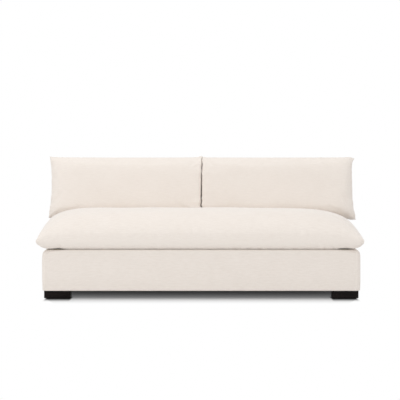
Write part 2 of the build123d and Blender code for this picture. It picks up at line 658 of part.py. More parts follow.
def main():
    os.makedirs("parts", exist_ok=True)
    sides = (("left", -1), ("right", 1))
    ends = (("front", -1), ("rear", 1))
    for end_name, end in ends:
        for side_name, side in sides:
            write(f"foot_{end_name}_{side_name}", foot(side, end))
            write(f"corner_block_{end_name}_{side_name}", corner_block(side, end))
    write("foot_glides", foot_glides())
    write("foot_screws", foot_screws())
    write("block_screws", block_screws())
    write("front_rail", front_rail())
    write("rear_rail", rear_rail())
    for side_name, side in sides:
        write(f"{side_name}_side_rail", side_rail(side))
        write(f"stretcher_{side_name}", stretcher(side * STRETCHER_X))
        write(f"{side_name}_edge_foam", edge_foam(side))
    for number, x in enumerate(UPRIGHT_X, 1):
        write(f"back_upright_{number}", back_upright(x))
    write("back_tack_rail", back_tack_rail())
    write("back_upper_rail", back_upper_rail())
    write("back_top_cap", back_top_cap())
    write("back_webbing", back_webbing())
    spring = faceted_wire(zigzag_path(), SPRING_WIRE, SPRING_SIDES)
    for number, x in enumerate(SPRING_X, 1):
        write(f"seat_spring_{number:02d}", Pos(x, 0, 0) * spring)
    write("spring_clips", spring_clips())
    write("spring_tie_wires", tie_wires())
    deck_top = BASE_TOP
    write("deck_cloth", deck_layer(deck_top - DECK_CLOTH, deck_top, FIT))
    write("deck_foam", deck_layer(deck_top - DECK_CLOTH - DECK_FOAM, deck_top - DECK_CLOTH, FIT))
    insulator_top = deck_top - DECK_CLOTH - DECK_FOAM
    write("deck_insulator", deck_layer(insulator_top - INSULATOR, insulator_top, FIT))
    write("front_edge_foam", edge_foam("front"))
    write("base_cover", base_cover())
    write("dust_cover", dust_cover())
    write("inside_back_foam", inside_back_foam())
    write("inside_back_cover", inside_back_cover())
    write("outside_back_cover", outside_back_cover())
    write("seat_cushion", seat_cushion() - seat_core())
    write("seat_cushion_core", seat_core())
    for side_name, side in sides:
        write(f"back_cushion_{side_name}", back_cushion(side) - back_core(side))
        write(f"back_cushion_{side_name}_core", back_core(side))


main()
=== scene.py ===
"""Armless sofa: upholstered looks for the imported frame, laid out as an add-on and run as a script.

Metres. X runs along the sofa, -Y is the front, +Z is up.
"""

import json
import math

import bpy
import numpy as np
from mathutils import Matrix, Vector
from mathutils.bvhtree import BVHTree


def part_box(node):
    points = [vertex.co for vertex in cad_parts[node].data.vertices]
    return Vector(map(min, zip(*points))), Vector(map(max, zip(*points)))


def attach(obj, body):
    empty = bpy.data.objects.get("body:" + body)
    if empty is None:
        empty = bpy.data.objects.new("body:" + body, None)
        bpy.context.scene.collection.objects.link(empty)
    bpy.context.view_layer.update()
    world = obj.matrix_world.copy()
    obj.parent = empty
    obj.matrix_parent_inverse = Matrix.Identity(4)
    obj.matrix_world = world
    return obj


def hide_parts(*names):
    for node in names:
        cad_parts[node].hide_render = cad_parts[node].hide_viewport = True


bl_info = {
    "name": "Armless sofa",
    "version": (1, 0, 0),
    "blender": (4, 5, 0),
    "location": "View3D > Sidebar > Sofa",
    "description": "Builds the upholstery, finishes and studio of an armless sofa round its frame",
    "category": "Object",
}

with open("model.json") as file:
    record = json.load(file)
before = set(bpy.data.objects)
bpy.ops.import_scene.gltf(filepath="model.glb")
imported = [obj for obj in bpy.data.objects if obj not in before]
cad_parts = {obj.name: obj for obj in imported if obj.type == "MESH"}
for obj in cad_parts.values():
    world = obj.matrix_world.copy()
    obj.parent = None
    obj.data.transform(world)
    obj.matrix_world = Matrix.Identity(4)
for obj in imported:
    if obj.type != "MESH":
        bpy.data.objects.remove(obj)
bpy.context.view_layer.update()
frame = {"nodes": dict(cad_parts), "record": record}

BASE_LOW, BASE_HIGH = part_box("base_cover")
DECK_LOW, DECK_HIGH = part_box("deck_cloth")
BACK_LOW, BACK_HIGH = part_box("inside_back_cover")
REAR_LOW, REAR_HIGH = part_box("outside_back_cover")
DUST_LOW, DUST_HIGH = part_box("dust_cover")
FOOT_LOW, FOOT_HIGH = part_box("foot_front_right")

MM = 0.001
# how far the padded back leans to the rear for each metre up
RAKE = (0.458 - 0.430) / (0.690 - 0.240)
# spacing of the threads in the deck cloth
DECK_PITCH = 0.9 * MM
# a row of points this close to the edge of a cloth keeps the smoothing from drawing the edge in
EDGE_ROW = 0.0012
# small enough to be no distance at all
NOTHING = 1e-9


# ---- shader building -----------------------------------------------------------------------------------------
class Sock:
    """A shader socket that can be used in Python arithmetic; each operation adds one Math node."""

    def __init__(self, shade, socket):
        self.shade, self.socket = shade, socket

    def _math(self, operation, *values):
        return self.shade.node("ShaderNodeMath", {"operation": operation}, dict(enumerate(values)))

    def __add__(self, other):
        return self._math("ADD", self, other)

    __radd__ = __add__

    def __sub__(self, other):
        return self._math("SUBTRACT", self, other)

    def __rsub__(self, other):
        return self._math("SUBTRACT", other, self)

    def __mul__(self, other):
        return self._math("MULTIPLY", self, other)

    __rmul__ = __mul__

    def __pow__(self, other):
        return self._math("POWER", self, other)

    def sine(self):
        return self._math("SINE", self)

    def size(self):
        return self._math("ABSOLUTE", self)

    def at_least(self, other):
        return self._math("MAXIMUM", self, other)

    def share(self, low, high):
        """0 at low, 1 at high, held between."""
        settings = {"clamp": True}
        return self.shade.node("ShaderNodeMapRange", settings, {"Value": self, "From Min": low, "From Max": high})


class Nodes:
    """A node tree under construction."""

    def __init__(self, tree):
        self.tree = tree

    def node(self, kind, settings=None, values=None, out=0):
        """Adds a node, applies its settings, then its socket values or links, and returns one output or several."""
        made = self.tree.nodes.new(kind)
        for key, value in (settings or {}).items():
            setattr(made, key, value)
        for label, value in (values or {}).items():
            if isinstance(value, Sock):
                self.tree.links.new(value.socket, made.inputs[label])
            else:
                made.inputs[label].default_value = value
        if isinstance(out, tuple):
            return [Sock(self, made.outputs[o]) for o in out]
        return Sock(self, made.outputs[out])

    def coords(self, uv=None):
        """Coordinates in metres: the named UV map, or the object's own."""
        if uv:
            return self.node("ShaderNodeUVMap", {"uv_map": uv})
        return self.node("ShaderNodeTexCoord", out="Object")

    def split(self, vector):
        return self.node("ShaderNodeSeparateXYZ", None, {0: vector}, out=(0, 1, 2))

    def stretch(self, vector, scale):
        return self.node("ShaderNodeVectorMath", {"operation": "MULTIPLY"}, {0: vector, 1: scale})

    def noise(self, vector, scale, detail=2.0, rough=0.5):
        values = {"Vector": vector, "Scale": scale, "Detail": detail, "Roughness": rough}
        return self.node("ShaderNodeTexNoise", None, values)

    def blend(self, factor, a, b):
        """Colour mix; a and b are colours or colour links."""
        settings = {"data_type": "RGBA", "clamp_factor": True}
        a, b = (v if isinstance(v, Sock) else (*v, 1.0) for v in (a, b))
        return self.node("ShaderNodeMix", settings, {0: factor, 6: a, 7: b}, out=2)


class Shade(Nodes):
    """One material under construction; surface gives the sockets that are the same all over."""

    def __init__(self, name, **surface):
        self.material = bpy.data.materials.new(name)
        self.material.use_nodes = True
        super().__init__(self.material.node_tree)
        self.surface = self.tree.nodes["Principled BSDF"]
        for label, value in surface.items():
            self.surface.inputs[label.replace("_", " ")].default_value = value

    def feed(self, label, value):
        self.tree.links.new(value.socket, self.surface.inputs[label])

    def bump(self, height, depth, strength):
        """Feeds a height, 0 to 1 and depth metres deep, to the surface normal."""
        values = {"Height": height, "Distance": depth, "Strength": strength}
        self.feed("Normal", self.node("ShaderNodeBump", None, values))


def scaled(values, by):
    return tuple(v * by for v in values)


def woven(name, colour, shadow, pitch, uv=None, heather=1.0):
    """Plain-weave upholstery cloth: crossing threads, long weft slubs and slight unevenness of dye.

    heather is how strongly the slubs and flecks vary the tone. shadow is the darker colour: painted shade in the
    hollows between the threads, and the darker end of the yarn's own tone that the slubs, flecks and dye clouds vary.
    """
    s = Shade(name, Sheen_Weight=0.5, Sheen_Roughness=0.35, Specular_IOR_Level=0.2)
    where = s.coords(uv)
    x, y, z = s.split(where)
    if uv is None:
        # on frame nodes the cloth lies level or upright, so two slanted sums of the axes cross on every face
        x, y = x + y * 0.5, z + y * 0.5
    turn = 2 * math.pi / pitch
    warp, weft = (x * turn).sine(), (y * turn).sine()
    threads = (warp * weft) * 0.5 + 0.5
    slub = s.noise(s.stretch(where, (1.0, 4.6, 4.6)), 27.0, 3.0, 0.55)
    cross_slub = s.noise(s.stretch(where, (12.0, 1.0, 12.0)), 50.0, 2.0)
    fleck = s.noise(s.stretch(where, (1.0, 2.2, 2.2)), 230.0, 2.0)
    cloud = s.noise(where, 9.0, 3.0)
    grain = slub.share(0.25, 0.75) * 0.62 + cross_slub.share(0.3, 0.7) * 0.11 + fleck.share(0.3, 0.7) * 0.27
    # the threads term darkens the hollows between the crossings as painted shade; slubs, flecks and clouds vary the
    # yarn's own tone
    tone = threads * 0.18 + grain * (0.50 * heather) + cloud.share(0.3, 0.7) * 0.09 + (0.35 - 0.25 * heather)
    s.feed("Base Color", s.blend(tone.share(0.06, 0.90), shadow, colour))
    s.feed("Roughness", 0.97 - threads * 0.08)
    s.bump(threads * 0.5 + slub * 0.32 + cross_slub * 0.18, 0.42 * MM, 0.6)
    return s.material


def flecked_foam(name, colour):
    """Open-cell foam: pores, their hollows painted darker as shade, and a yellowing cast."""
    s = Shade(name, Roughness=0.95)
    where = s.coords()
    pores = s.node("ShaderNodeTexVoronoi", None, {"Vector": where, "Scale": 700.0})
    cast = s.noise(where, 5.0)
    s.feed("Base Color", s.blend(pores.share(0.0, 0.6) * 0.7 + cast * 0.3, scaled(colour, 0.82), colour))
    s.bump(pores, 0.6 * MM, 0.6)
    return s.material


def black_felt(name, colour):
    """Thin pressed cloth with a point-bonded pattern of small dimples."""
    s = Shade(name, Roughness=0.9, Sheen_Weight=0.1)
    where = s.coords()
    x, y, _ = s.split(where)
    turn = 2 * math.pi / (2.2 * MM)
    dimples = ((x + y) * turn).sine() * ((x - y) * turn).sine()
    fibre = s.noise(where, 900.0, 4.0)
    pressed = scaled(colour, 2.2)
    s.feed("Base Color", s.blend(fibre * 0.6 + dimples.share(0.2, 0.9) * 0.4, colour, pressed))
    s.bump(dimples * 0.5 + fibre * 0.5, 0.15 * MM, 0.6)
    return s.material


def ribbed_webbing(name, colour):
    """Elastic seat webbing: fine ribs across and one lighter yarn."""
    s = Shade(name, Roughness=0.8)
    where = s.coords()
    x, _, z = s.split(where)
    ribs = (z * (2 * math.pi / (2.5 * MM))).sine() * 0.5 + 0.5
    yarn = (x * (2 * math.pi / (12 * MM))).sine().share(0.86, 0.98)
    s.feed("Base Color", s.blend(yarn * 0.8, scaled(colour, 0.7), (0.32, 0.30, 0.27)))
    s.bump(ribs, 0.4 * MM, 0.7)
    return s.material


def timber(name, light, dark, rough, gloss=0.45):
    """Wood with rings drawn out along the board, pores and uneven stain."""
    s = Shade(name, Specular_IOR_Level=gloss)
    where = s.coords()
    along = (0.6, 9.0, 9.0)
    warp = s.noise(s.stretch(where, along), 4.0, 3.0)
    rings = s.node(
        "ShaderNodeTexWave",
        {"wave_type": "RINGS", "rings_direction": "X"},
        {"Vector": s.stretch(where, along), "Scale": 3.0, "Distortion": 6.0, "Detail": 3.0, "Detail Scale": 1.5},
    )
    pores = s.noise(s.stretch(where, scaled(along, 30)), 18.0, 2.0)
    figure = rings * 0.6 + warp * 0.4
    s.feed("Base Color", s.blend(figure.share(0.2, 0.85) * 0.8 + pores * 0.2, dark, light))
    s.feed("Roughness", pores * 0.14 + (rough - 0.05))
    s.bump(pores.share(0.35, 0.6) * 0.6 + rings * 0.4, 0.12 * MM, 0.5)
    return s.material


def moulded(name, colour):
    """Fine-grained moulded plastic, scuffed where it has been dragged."""
    s = Shade(name, Specular_IOR_Level=0.4)
    where = s.coords()
    grain = s.noise(where, 1800.0, 2.0)
    scuff = s.noise(s.stretch(where, (1.0, 12.0, 1.0)), 90.0, 3.0).share(0.56, 0.72)
    s.feed("Base Color", s.blend(scuff * 0.5, colour, tuple(c * 4 + 0.05 for c in colour)))
    s.feed("Roughness", scuff * 0.25 + 0.45)
    s.bump(grain, 0.08 * MM, 0.4)
    return s.material


def steel(name, colour, rough, streak=(1.0, 1.0, 1.0)):
    """Drawn or plated steel with draw marks and a dull bloom."""
    s = Shade(name, Metallic=1.0)
    where = s.coords()
    marks = s.noise(s.stretch(where, streak), 260.0, 3.0)
    bloom = s.noise(where, 40.0, 2.0)
    s.feed("Base Color", s.blend(bloom.share(0.3, 0.75), scaled(colour, 0.7), colour))
    s.feed("Roughness", marks * 0.25 + (rough - 0.12))
    s.bump(marks, 0.05 * MM, 0.4)
    return s.material


# ---- small numeric helpers -----------------------------------------------------------------------------------
# the range of a random phase in radians, and how far a sum of sines peaks over its usual size
ANY_PHASE = 6.28
PEAK = 1.6


def ripple(along, shortest, longest, seed, count=14):
    """Sum of sines of mixed wavelengths between two lengths, about -1 to 1, the same on every run."""
    rng = np.random.default_rng(seed)
    lengths = shortest * (longest / shortest) ** rng.random(count)
    phases = rng.random(count) * 2 * np.pi
    total = sum(np.sin(2 * np.pi * along / length + phase) for length, phase in zip(lengths, phases))
    return total / math.sqrt(count / 2) / PEAK


def clouds(x, y, shortest, longest, seed):
    """Smooth two-way unevenness, about -1 to 1, the same on every run."""
    rng = np.random.default_rng(seed)
    count, total = 18, 0.0
    for _ in range(count):
        length = shortest * (longest / shortest) ** rng.random()
        heading = rng.random() * 2 * np.pi
        along = x * np.cos(heading) + y * np.sin(heading)
        total = total + np.sin(2 * np.pi * along / length + rng.random() * ANY_PHASE)
    return total / math.sqrt(count / 2) / PEAK


def fill_out(share, sharpness, fullness):
    """0 at a seam, 1 at the crown: how a knife-edge cushion fills out."""
    share = np.clip(share, 0.0, 1.0)
    return (1 - (1 - share) ** sharpness) ** (1 / fullness)


def toward_edges(count, tightness):
    """count + 1 places from -1 to 1, closer together near both ends."""
    t = np.linspace(-1, 1, count + 1)
    return np.sign(t) * (1 - (1 - np.abs(t)) ** tightness)


def smooth(t):
    """An even S from 0 to 1, held beyond."""
    t = np.clip(t, 0.0, 1.0)
    return t * t * (3 - 2 * t)


def line_length(x, y):
    """Distance along a line of points, from its first to each."""
    return np.concatenate([[0], np.cumsum(np.hypot(np.diff(x), np.diff(y)))])


def hump(distance, reach):
    """1 at no distance, fading to nothing beyond reach."""
    return np.exp(-((distance / reach) ** 2))


def edged(low, high, count):
    """Places from low to high: count of them evenly spread, and more crowded up to both edges."""
    near = np.array([0.0008, 0.003, 0.008])
    return np.concatenate([[low], low + near, np.linspace(low + 0.02, high - 0.02, count), high - near[::-1], [high]])


# ---- mesh helpers --------------------------------------------------------------------------------------------
def new_mesh(name, points, faces, uvs=None):
    """Object from points and faces, smooth-shaded, with an optional UV for each point."""
    mesh = bpy.data.meshes.new(name)
    mesh.from_pydata([tuple(p) for p in np.asarray(points, float)], [], faces)
    mesh.polygons.foreach_set("use_smooth", [True] * len(mesh.polygons))
    if uvs is not None:
        layer = mesh.uv_layers.new(name="cloth")
        corners = np.empty(len(mesh.loops), np.int64)
        mesh.loops.foreach_get("vertex_index", corners)
        layer.data.foreach_set("uv", np.asarray(uvs, float)[corners].ravel())
    mesh.update()
    obj = bpy.data.objects.new(name, mesh)
    bpy.context.scene.collection.objects.link(obj)
    return obj


def net_mesh(name, net, uvs=None, turned=False):
    """Object from a net of points; turned lets its outer side be the other one."""
    rows, columns = net.shape[:2]
    corners = [r * columns + c for r in range(rows - 1) for c in range(columns - 1)]
    faces = [(a, a + 1, a + 1 + columns, a + columns) for a in corners]
    if turned:
        faces = [face[::-1] for face in faces]
    return new_mesh(name, net.reshape(-1, 3), faces, None if uvs is None else uvs.reshape(-1, 2))


def laid_out(net):
    """Cloth coordinates of a net of points: the distance along it each way from its middle, so no weave stretches."""
    across = np.cumsum(np.linalg.norm(np.diff(net, axis=1, prepend=net[:, :1]), axis=-1), axis=1)
    up = np.cumsum(np.linalg.norm(np.diff(net, axis=0, prepend=net[:1]), axis=-1), axis=0)
    middle = (net.shape[0] // 2, net.shape[1] // 2)
    return np.stack([across - across[:, middle[1]][:, None], up - up[middle[0]][None]], -1)


def per_point(obj, what):
    values = np.empty(len(obj.data.vertices) * 3)
    obj.data.vertices.foreach_get(what, values)
    return values.reshape(-1, 3)


def places(obj):
    return per_point(obj, "co")


def place(obj, points):
    obj.data.vertices.foreach_set("co", np.asarray(points, float).ravel())
    obj.data.update()


def thicken(obj, depth):
    """Gives a cloth skin its thickness, inward."""
    skin = obj.modifiers.new("thickness", "SOLIDIFY")
    skin.thickness, skin.offset = depth, -1.0
    skin.use_quality_normals = True


def soften(obj):
    """Rounds the mesh by one subdivision."""
    finer = obj.modifiers.new("smooth", "SUBSURF")
    finer.levels = finer.render_levels = 1


def finish_with(obj, material, body):
    obj.data.materials.append(material)
    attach(obj, body)


def puff(obj, pillow, cap, slack, stiffness=0.6):
    """Blows the visible panel up a little round its filling and keeps each point within cap.

    slack is the spare share of cloth and stiffness its resistance to bending. The seam and the panel that the cushion
    lies on are held, and the crown is brought back to the height it had.
    """
    frames = 20
    start = places(obj)
    held = obj.vertex_groups.new(name="held")
    under = range(len(pillow.edge_top), len(start))
    held.add([int(i) for i in pillow.rim] + list(under), 1.0, "REPLACE")
    cloth = obj.modifiers.new("puff", "CLOTH")
    cfg = cloth.settings
    cfg.quality = 5
    cfg.mass = 0.35
    cfg.tension_stiffness = cfg.compression_stiffness = 18.0
    cfg.shear_stiffness = 6.0
    cfg.bending_stiffness = stiffness
    cfg.air_damping = 4.0
    cfg.use_pressure = True
    cfg.uniform_pressure_force = 4.0
    cfg.shrink_min = -slack
    cfg.effector_weights.gravity = 0.0
    cfg.vertex_group_mass = "held"
    cfg.pin_stiffness = 1.0
    cloth.collision_settings.use_collision = False
    cloth.point_cache.frame_start, cloth.point_cache.frame_end = 1, frames
    for step in range(1, frames + 1):
        bpy.context.scene.frame_set(step)
    grown = obj.evaluated_get(bpy.context.evaluated_depsgraph_get())
    move = places(grown) - start
    obj.modifiers.remove(cloth)
    bpy.context.scene.frame_set(1)
    obj.vertex_groups.clear()
    length = np.linalg.norm(move, axis=1, keepdims=True)
    move *= np.where(length > NOTHING, cap * np.tanh(length / cap) / np.maximum(length, NOTHING), 0.0)
    end = start + move
    seam_level = (start[pillow.rim] @ pillow.facing).mean()
    before, after = start @ pillow.facing - seam_level, end @ pillow.facing - seam_level
    settle = np.where(after > 0, before.max() / after.max() - 1, 0.0) * after
    place(obj, end + settle[:, None] * pillow.facing)


def back_face(z):
    """How far back the padded front of the back is at a height: raked, then falling away over the rolled top."""
    rake_ends, roll_starts = 0.700, 0.706
    raked = BACK_LOW[1] + (np.clip(z, BACK_LOW[2], rake_ends) - BACK_LOW[2]) * RAKE
    return raked + np.maximum(z - roll_starts, 0.0)


def rest_on(points, support, clearance):
    """Lifts the points that have sunk into the piece below, so that soft stuffing lies on it."""
    tree = BVHTree.FromObject(support, bpy.context.evaluated_depsgraph_get())
    # rays start over the whole sofa, and no point over the highest that the piece below reaches needs one
    start, highest = 1.0, 0.60
    for p in points:
        if p[2] < highest:
            hit = tree.ray_cast(Vector((p[0], p[1], start)), Vector((0, 0, -1)))[0]
            if hit is not None and p[2] < hit.z + clearance:
                p[2] = hit.z + clearance
    return points


# ---- cushions ------------------------------------------------------------------------------------------------
class Pillow:
    """A knife-edge cushion as two cloth panels sewn round one seam.

    Worked out flat first: a runs along it and b up it, each from -1 to 1, and the two panels rise and fall from the
    seam by heights that a subclass gives.
    """

    def __init__(self, name):
        self.name = name
        self.a = toward_edges(self.cells[0], 1.35)
        self.b = toward_edges(self.cells[1], 1.5)

    def build(self):
        na, nb = len(self.a), len(self.b)
        aa, bb = np.meshgrid(self.a, self.b)
        flat = self.outline(aa, bb)
        top = self.stand(flat, self.front(aa, bb, flat))
        under = self.stand(flat, -self.rear(aa, bb, flat))
        rim = np.zeros((nb, na), bool)
        rim[0], rim[-1], rim[:, 0], rim[:, -1] = True, True, True, True
        index = np.arange(nb * na).reshape(nb, na)
        below = index.copy()
        below[~rim] = nb * na + np.arange((~rim).sum())
        points = np.concatenate([top.reshape(-1, 3), under[~rim]])
        uv_top = laid_out(top).reshape(-1, 2)
        uv_under = laid_out(under) + (3.0, 0.0)  # another stretch of the cloth
        faces = []
        for r in range(nb - 1):
            for c in range(na - 1):
                faces.append(tuple(index[[r, r, r + 1, r + 1], [c, c + 1, c + 1, c]]))
                faces.append(tuple(below[[r + 1, r + 1, r, r], [c, c + 1, c + 1, c]]))
        faces = [tuple(int(i) for i in f) for f in faces]
        obj = new_mesh(self.name, points, faces, np.concatenate([uv_top, uv_under[~rim]]))
        self.rim = index[rim]
        self.flat_top, self.flat_under = flat.reshape(-1, 2), flat[~rim]
        edge = self.seam_gap(aa, bb, flat)
        self.edge_top, self.edge_under = edge.reshape(-1, 2), edge[~rim]
        return obj

    def seam_gap(self, aa, bb, flat):
        """For each point: distance in from the nearest seam, and place along it."""
        span_a = np.abs(flat[:, -1:, 0] - flat[:, :1, 0]) / 2
        span_b = np.abs(flat[-1:, :, 1] - flat[:1, :, 1]) / 2
        in_a, in_b = (1 - np.abs(aa)) * span_a, (1 - np.abs(bb)) * span_b
        ends = in_a < in_b
        gap = np.where(ends, in_a, in_b)
        # each seam is counted from a place of its own, so that no two have the same gathers
        along = np.where(ends, flat[..., 1] + 5.0 * np.sign(aa), flat[..., 0] + 9.0 * np.sign(bb))
        return np.stack([gap, along], -1)

    def pucker(self, obj, depth, reach, waves, seed):
        """Gathers pulled in by the seam's stitches, the sunk stitch line and the folds that fan out of each corner."""
        edge = np.concatenate([self.edge_top, self.edge_under])
        flat = np.concatenate([self.flat_top, self.flat_under])
        side = np.concatenate([np.ones(len(self.edge_top)), -np.ones(len(self.edge_under))])
        gap, along = edge.T
        wave = np.where(side > 0, ripple(along, *waves, seed), ripple(along, *waves, seed + 1))
        length = reach * (1 + 0.6 * ripple(along, 0.07, 0.4, seed + 2))
        fade = np.exp(-np.maximum(gap, 0) / np.maximum(length, 0.008)) * smooth(gap / 0.006)
        move = depth * wave * fade
        move += 0.0009 * hump(gap - 0.006, 0.004) - 0.0012 * hump(gap, 0.0022)
        low, high = flat.min(0), flat.max(0)
        rng = np.random.default_rng(seed + 5)
        for corner in ((low[0], low[1]), (high[0], low[1]), (low[0], high[1]), (high[0], high[1])):
            away = np.abs(flat - np.array(corner))
            reach_out = np.hypot(away[:, 0], away[:, 1])
            turn = np.arctan2(away[:, 1], away[:, 0] + NOTHING)
            for above in (1, -1):
                folds, phase, size = rng.integers(3, 6), rng.random() * ANY_PHASE, 0.0018 + 0.0016 * rng.random()
                fan = np.sin(2 * folds * turn + phase) * smooth(gap / 0.012)
                length = 0.05 + 0.04 * rng.random()
                fan = fan * smooth(reach_out / 0.03) * hump(reach_out, length) * (side == above)
                move += size * fan
        place(obj, places(obj) + per_point(obj, "normal") * move[:, None])


class SeatPillow(Pillow):
    """The bench cushion: lies flat, its seam level, full toward the front and thinning to the rear."""

    cells = (176, 84)
    facing = np.array((0.0, 0.0, 1.0))
    seam_z, crown, crown_y = 0.347, 0.183, -0.090
    tips = (-0.9955, 0.983)
    front_y, rear_y = -0.520, 0.388
    # how far the seam is drawn in at the middle of the ends and of the front
    end_draw, front_draw = 0.006, 0.004
    # sharpness and fullness, as fill_out takes them, from the left and right ends, the front and the rear
    end_fill, front_fill, rear_fill = ((8.8, 2.25), (6.0, 2.1)), (2.6, 2.2), (2.0, 1.1)
    # the right-hand tips are blunter than the left, by this much along x and y
    blunt_x, blunt_y = 0.003, 0.008
    slump = 0.003
    # the underside lifts off the base a little near each front tip: how far, where, and how wide and deep that is
    lift, lift_x, lift_wide, lift_deep = 0.0060, 0.866, 0.042, 0.14
    # half its length and depth, and how far in from the ends, the front and the rear the underside comes level
    half_x, half_y, level_end, level_front, level_rear = 0.985, 0.454, 0.09, 0.055, 0.075

    def outline(self, a, b):
        middle, reach = sum(self.tips) / 2, (self.tips[1] - self.tips[0]) / 2
        x = middle + a * reach - np.sign(a) * self.end_draw * (1 - b ** 2) * np.abs(a) ** 6
        middle, reach = (self.front_y + self.rear_y) / 2, (self.rear_y - self.front_y) / 2
        y = middle + b * reach - np.sign(b) * self.front_draw * (1 - a ** 2) * np.abs(b) ** 6
        blunt = smooth((a - 0.97) / 0.03) * np.abs(b) ** 12
        return np.stack([x - self.blunt_x * blunt, y + self.blunt_y * blunt * -np.sign(b)], -1)

    def front(self, a, b, flat):
        x, y = flat[..., 0], flat[..., 1]
        ends = np.where(a < 0, fill_out(1 + a, *self.end_fill[0]), fill_out(1 - a, *self.end_fill[1]))
        before = fill_out((y - self.front_y) / (self.crown_y - self.front_y), *self.front_fill)
        behind = fill_out((self.rear_y - y) / (self.rear_y - self.crown_y), *self.rear_fill)
        depth = np.where(y < self.crown_y, before, behind)
        depth = np.where(np.abs(b) >= 0.9999, 0, depth)
        return (self.crown + self.slump * clouds(x, y, 0.30, 0.9, 11)) * ends * depth

    def rear(self, a, b, flat):
        x, y = flat[..., 0], flat[..., 1]
        lift = self.lift * hump(np.abs(x) - self.lift_x, self.lift_wide)
        drop = self.seam_z - (BASE_HIGH[2] + 0.0006) - lift * smooth(1 - (y - self.front_y) / self.lift_deep)
        ends = fill_out((1 - np.abs(a)) * self.half_x / self.level_end, 2.0, 2.0)
        before = fill_out((1 + b) * self.half_y / self.level_front, 3.0, 2.5)
        behind = fill_out((1 - b) * self.half_y / self.level_rear, 2.0, 2.0)
        return drop * ends * np.where(b < 0, before, behind)

    def stand(self, flat, away):
        return np.stack([flat[..., 0], flat[..., 1], self.seam_z + away], -1)


class BackPillow(Pillow):
    """A back cushion: stands on its lower seam and leans on the back. side is -1 left or 1 right."""

    cells = (120, 60)
    lean = math.radians(11.0)
    facing = np.array((0.0, -math.cos(lean), math.sin(lean)))
    # the lower seam's y and z, the height up the face, the room between the two, and how far front and rear swell
    foot, height, gap = (0.262, 0.446), 0.4025, 0.0002
    bulge, slump = (0.112, 0.105), 0.003
    # sharpness and fullness, as fill_out takes them: the inner ends press on each other and stay square, and the
    # outer ends taper to their knife edge
    inner_fill, outer_fill, foot_fill, top_fill = (150.0, 3.2), (11.0, 2.8), (5.0, 2.2), (5.0, 2.2)
    # where the two meet: its foot, its lean, its wander, and how deep and how far out the ends are squeezed there
    meet_foot, meet_lean, meet_wander, squeeze, squeeze_reach = -0.0015, 0.006, 0.0012, 0.0035, 0.05
    # half the length and height as the corners' wear counts them, and how far it reaches
    half_long, half_high, wear_reach = 0.5, 0.2, 0.035
    # by side: outer end, how far and how sharply (below, above) the outer edge is drawn in, the ears' heights outside
    # and in, and how far the outer corners are worn round and the lower one hangs
    shapes = {
        -1: (0.996, 0.019, (2.0, 2.2), 0.009, 0.012, 0.001, 0.002),
        1: (1.011, 0.0255, (3.0, 7.0), 0.001, 0.005, 0.009, 0.022),
    }

    def __init__(self, name, side):
        super().__init__(name)
        self.side = side
        self.outer, self.draw, self.draw_power, *rest = self.shapes[side]
        self.outer_ear, self.inner_ear, self.wear, self.droop = rest

    def meeting(self, v):
        """Where the two cushions press together, at a height up their faces: a line that wanders a little."""
        wander = self.meet_wander * ripple(v, 0.045, 0.13, 23, 8)
        return self.meet_foot + self.meet_lean * v / self.height + wander

    def outline(self, a, b):
        u = a * self.side
        x = self.gap / 2 + (u + 1) / 2 * (self.outer - self.gap / 2)
        across = 1 - np.abs(b) ** np.where(b < 0, *self.draw_power)
        x = x - self.draw * across * np.maximum(u, 0) ** 8
        v = (b + 1) / 2 * self.height + 0.002 * (1 - a ** 2) * np.maximum(-b, 0) ** 6
        ear = np.where(u > 0, self.outer_ear, self.inner_ear)
        v = v + ear * np.abs(a) ** 22 * np.maximum(b, 0) ** 5
        near_ends = smooth(1 - (1 - u) * self.half_long / self.wear_reach)
        worn = self.wear * smooth(1 - (1 - np.abs(b)) * self.half_high / self.wear_reach) * near_ends
        hang = self.droop * np.maximum(u, 0) ** 12 * smooth(-b)
        x, v = x - 0.4 * worn, v - np.sign(b) * worn - hang
        return np.stack([x * self.side + self.meeting(v) * np.maximum(-u, 0) ** 3, v], -1)

    def swell_up(self, a, b):
        u = a * self.side
        ends = np.where(u < 0, fill_out(1 + u, *self.inner_fill), fill_out(1 - u, *self.outer_fill))
        # the filling has sunk: fullest just above the foot, then an even taper up to the rounded top
        foot = fill_out((1 + b) / 0.5, *self.foot_fill)
        taper = 1 - 0.20 * np.clip((b + 0.75) / 1.3, 0, 1.35)
        return ends * foot * taper * fill_out(1 - b, *self.top_fill)

    def front(self, a, b, flat):
        slump = self.slump * clouds(flat[..., 0], flat[..., 1], 0.22, 0.7, 31 + self.side)
        return (self.bulge[0] + slump) * self.swell_up(a, b)

    def rear(self, a, b, flat):
        return self.bulge[1] * self.swell_up(a, b)

    def press(self, points):
        """Holds each cushion on its own side of the line where the two meet."""
        v = (points[:, 1] - self.foot[0]) * math.sin(self.lean) + (points[:, 2] - self.foot[1]) * math.cos(self.lean)
        line = self.meeting(v)
        away = self.side * (points[:, 0] - line)
        away = np.maximum(away - self.squeeze * (1 - smooth(away / self.squeeze_reach)), self.gap / 2)
        points[:, 0] = line + self.side * away
        return points

    def stand(self, flat, away):
        s, c = math.sin(self.lean), math.cos(self.lean)
        y = self.foot[0] + flat[..., 1] * s - away * c
        z = self.foot[1] + flat[..., 1] * c + away * s
        return np.stack([flat[..., 0], y, z], -1)


# ---- settings ------------------------------------------------------------------------------------------------
def colour_of(name, description, default):
    return bpy.props.FloatVectorProperty(
        name=name, description=description, subtype="COLOR", size=3, default=default, min=0, max=1
    )


def length_of(name, description, default):
    return bpy.props.FloatProperty(name=name, description=description, subtype="DISTANCE", default=default)


def share_of(name, description, default):
    return bpy.props.FloatProperty(
        name=name, description=description, subtype="FACTOR", default=default, min=0, max=1
    )


def power_of(side, default):
    return bpy.props.FloatProperty(
        name=f"{side} lamp", description=f"Power of the softbox on the {side.lower()} side", unit="POWER",
        default=default,
    )


